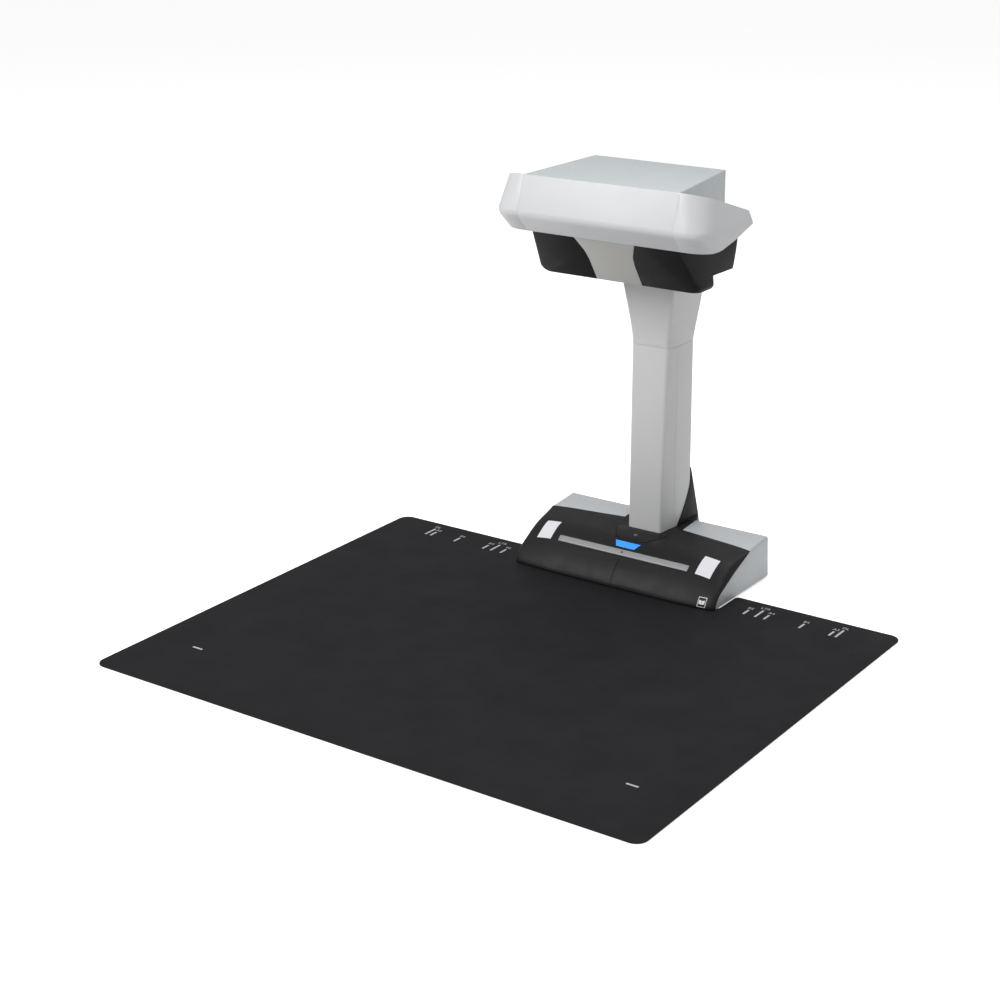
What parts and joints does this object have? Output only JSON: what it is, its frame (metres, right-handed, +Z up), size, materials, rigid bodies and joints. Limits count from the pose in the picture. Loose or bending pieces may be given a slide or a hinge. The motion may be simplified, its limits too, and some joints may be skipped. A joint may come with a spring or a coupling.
{
  "type": "book scanner",
  "caption": "Overhead book scanner: low base with scan bar, upright column, head with a turning camera, flat background pad.",
  "frame": {"origin": "centre of the whole footprint, pad and base together, at table height", "axes": "+Z up, the scanner faces -Y over its pad, X is its width, +X on the right of a person facing it"},
  "size_m": [0.526, 0.5, 0.369],
  "materials": {
    "white_plastic": "fine satin moulded plastic, off-white",
    "silver_top": "silver-grey painted plastic with fine metallic flake",
    "silver_base": "silver painted plastic with fine metallic flake",
    "grey_shell": "light grey satin plastic",
    "warm_grey": "warm grey satin plastic",
    "black_plastic": "black plastic with a fine spark-eroded grain",
    "black_gloss": "gloss black plastic",
    "button_silver": "silver-grey satin plastic",
    "white_target": "matt white reference surface",
    "blue_lens": "translucent blue light guide",
    "pad_sheet": "black printed sheet with a fine matt texture",
    "pad_print": "light grey printed ink",
    "rubber": "soft black rubber",
    "steel": "zinc-plated sheet steel",
    "cast_weight": "grey cast weight",
    "bronze": "sintered bronze",
    "gear_plastic": "natural acetal",
    "board": "green solder-masked circuit board",
    "component": "black component packages",
    "lamp": "clear LED lamp cover",
    "glass": "coated optical glass",
    "motor_metal": "bright motor can",
    "cable": "white flat ribbon cable",
    "socket_metal": "nickel-plated connector shell"
  },
  "bodies": {
    "scanner": {"base_plate": "steel", "rubber_feet": "rubber", "base_screws": "steel", "ballast_weights": "cast_weight", "main_board": "board", "board_standoffs": "bronze", "key_board": "board", "key_switches": "component", "indicator_led": "lamp", "front_cover": "black_plastic", "calibration_patches": "white_target", "indicator_lens": "blue_lens", "base_cover_right": "silver_base", "base_cover_left": "silver_base", "column_front_shell": "grey_shell", "column_rear_shell": "grey_shell", "neck_cover": "grey_shell", "spine_column": "steel", "column_flat_cable": "cable", "tail_cover": "black_plastic", "socket_panel": "black_plastic", "lock_slot_plate": "steel", "socket_board": "board", "dc_inlet": "component", "usb_socket": "socket_metal", "head_top_cover": "silver_top", "head_rear_cover": "silver_top", "visor_front": "white_plastic", "visor_end_right": "white_plastic", "visor_end_left": "white_plastic", "centre_band": "warm_grey", "lower_cover_right": "black_plastic", "lower_cover_left": "black_plastic", "underside_panel": "black_plastic", "head_frame": "steel", "head_screws": "steel", "drum_bushings": "bronze", "drum_brackets": "steel", "drive_motor": "motor_metal"},
    "scan_unit": {"scan_drum": "black_plastic", "drum_shafts": "steel", "lens_barrel": "motor_metal", "lens_glass": "glass", "led_lamps": "lamp", "sensor_board": "board", "drum_gear": "gear_plastic"},
    "drive_pinion": {"drive_pinion": "gear_plastic"},
    "scan_button": {"scan_button": "button_silver"},
    "stop_button": {"stop_button": "black_gloss"},
    "pad": {"background_pad": "pad_sheet", "pad_size_marks": "pad_print"}
  },
  "joints": [
    {"name": "scan_turn", "type": "hinge", "parent": "scanner", "child": "scan_unit", "pos_m": [0, 0.158, 0.3], "axis": [-1, 0, 0], "range_deg": [0, 42]},
    {"name": "pinion_turn", "type": "hinge", "parent": "scanner", "child": "drive_pinion", "pos_m": [0, 0.16687, 0.31057], "axis": [-1, 0, 0], "range_deg": [-100, 5]},
    {"name": "scan_press", "type": "slide", "parent": "scanner", "child": "scan_button", "axis": [0, 0, -1], "range_m": [0, 0.0012], "stiffness_N_per_m": 800, "springref_m": -0.0003},
    {"name": "stop_press", "type": "slide", "parent": "scanner", "child": "stop_button", "axis": [0, 0, -1], "range_m": [0, 0.0012], "stiffness_N_per_m": 800, "springref_m": -0.0003},
    {"name": "pad_slide", "type": "slide", "parent": "scanner", "child": "pad", "axis": [0, -1, 0], "range_m": [0, 0.06]}
  ],
  "couplings": [
    {"joint": "pinion_turn", "follows": "scan_turn", "ratio": -2.2857}
  ]
}
